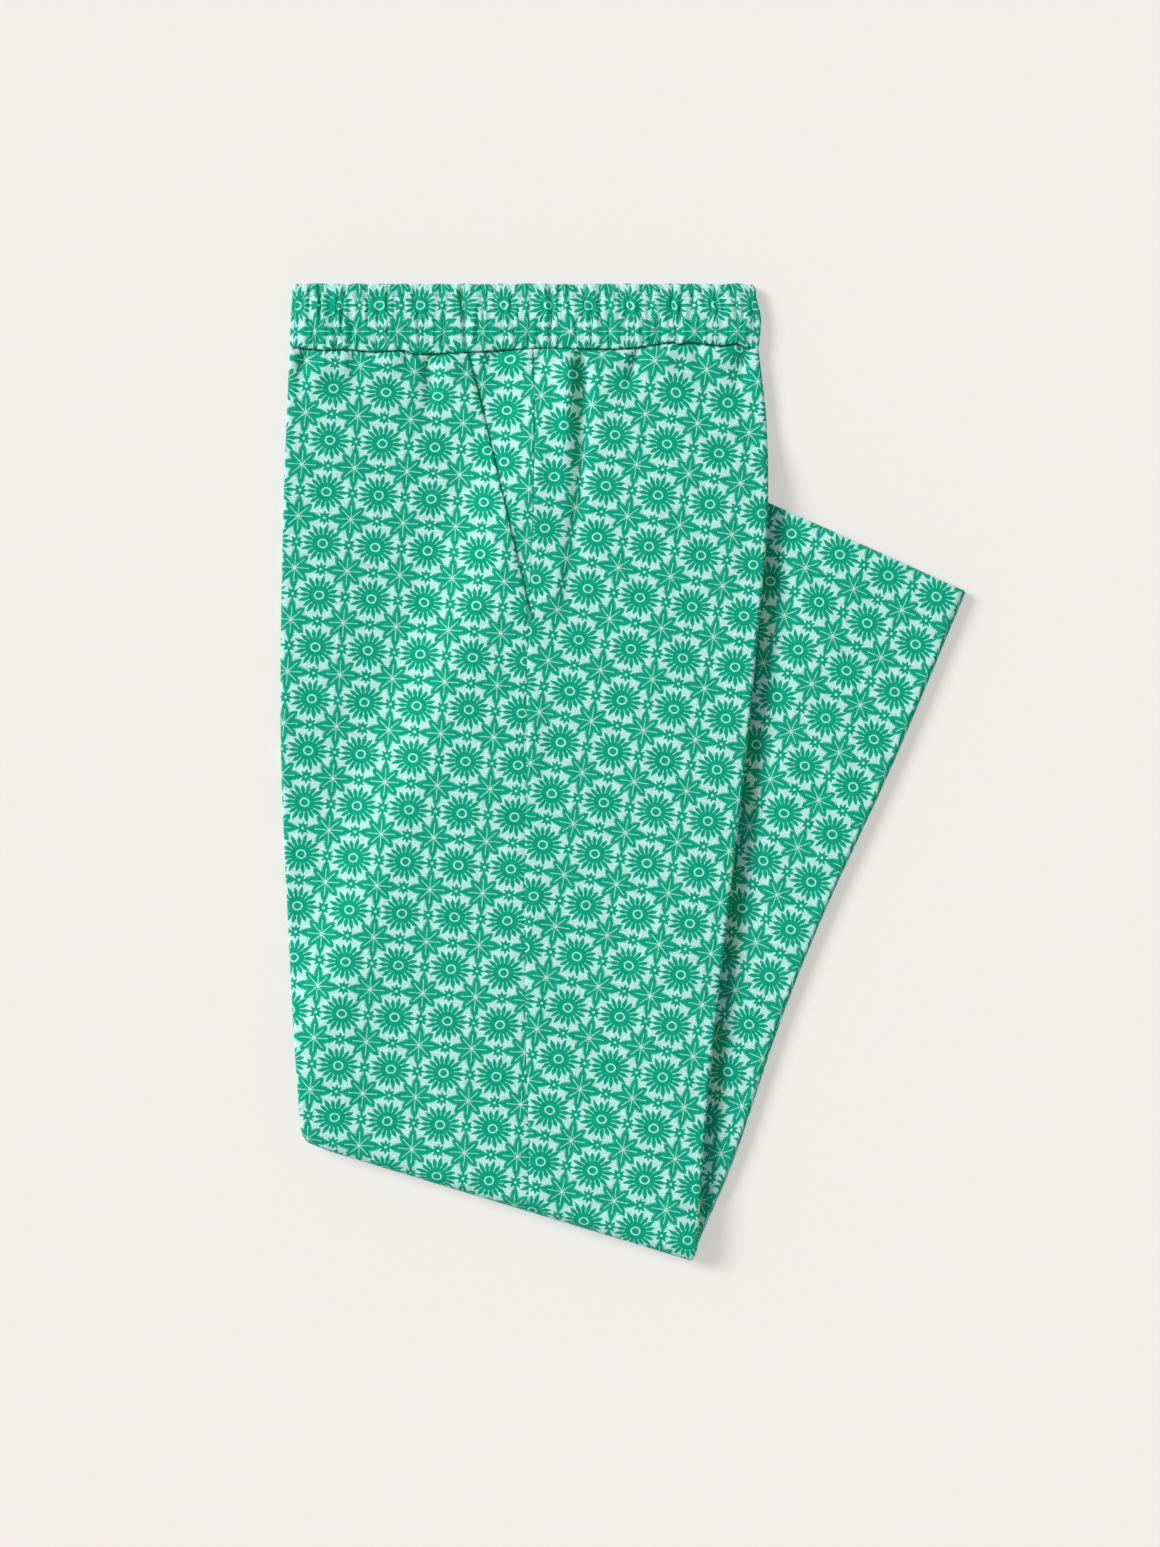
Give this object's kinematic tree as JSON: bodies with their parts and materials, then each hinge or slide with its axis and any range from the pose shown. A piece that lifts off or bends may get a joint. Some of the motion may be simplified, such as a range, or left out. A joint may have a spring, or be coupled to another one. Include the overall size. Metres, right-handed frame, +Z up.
{
  "type": "trousers",
  "caption": "Linen trousers with a gathered elastic waistband, slanting side pockets and straight wide legs, folded along and laid flat with the lower legs turned under and out to the right.",
  "frame": {"origin": "middle of the footprint, on the surface that the trousers lie on", "axes": "+Z up out of the cloth, +Y along the legs towards the waistband, +X across the garment towards its back"},
  "size_m": [0.4364, 0.621, 0.0208],
  "materials": {
    "linen": "woven linen, matt, printed"
  },
  "bodies": {
    "root": {"waistband": "linen", "left_front_panel": "linen", "left_back_panel": "linen", "left_pocket_facing": "linen", "right_back_panel": "linen", "right_front_panel": "linen", "folded_layers": "linen", "lower_folded_layers": "linen"}
  },
  "joints": []
}
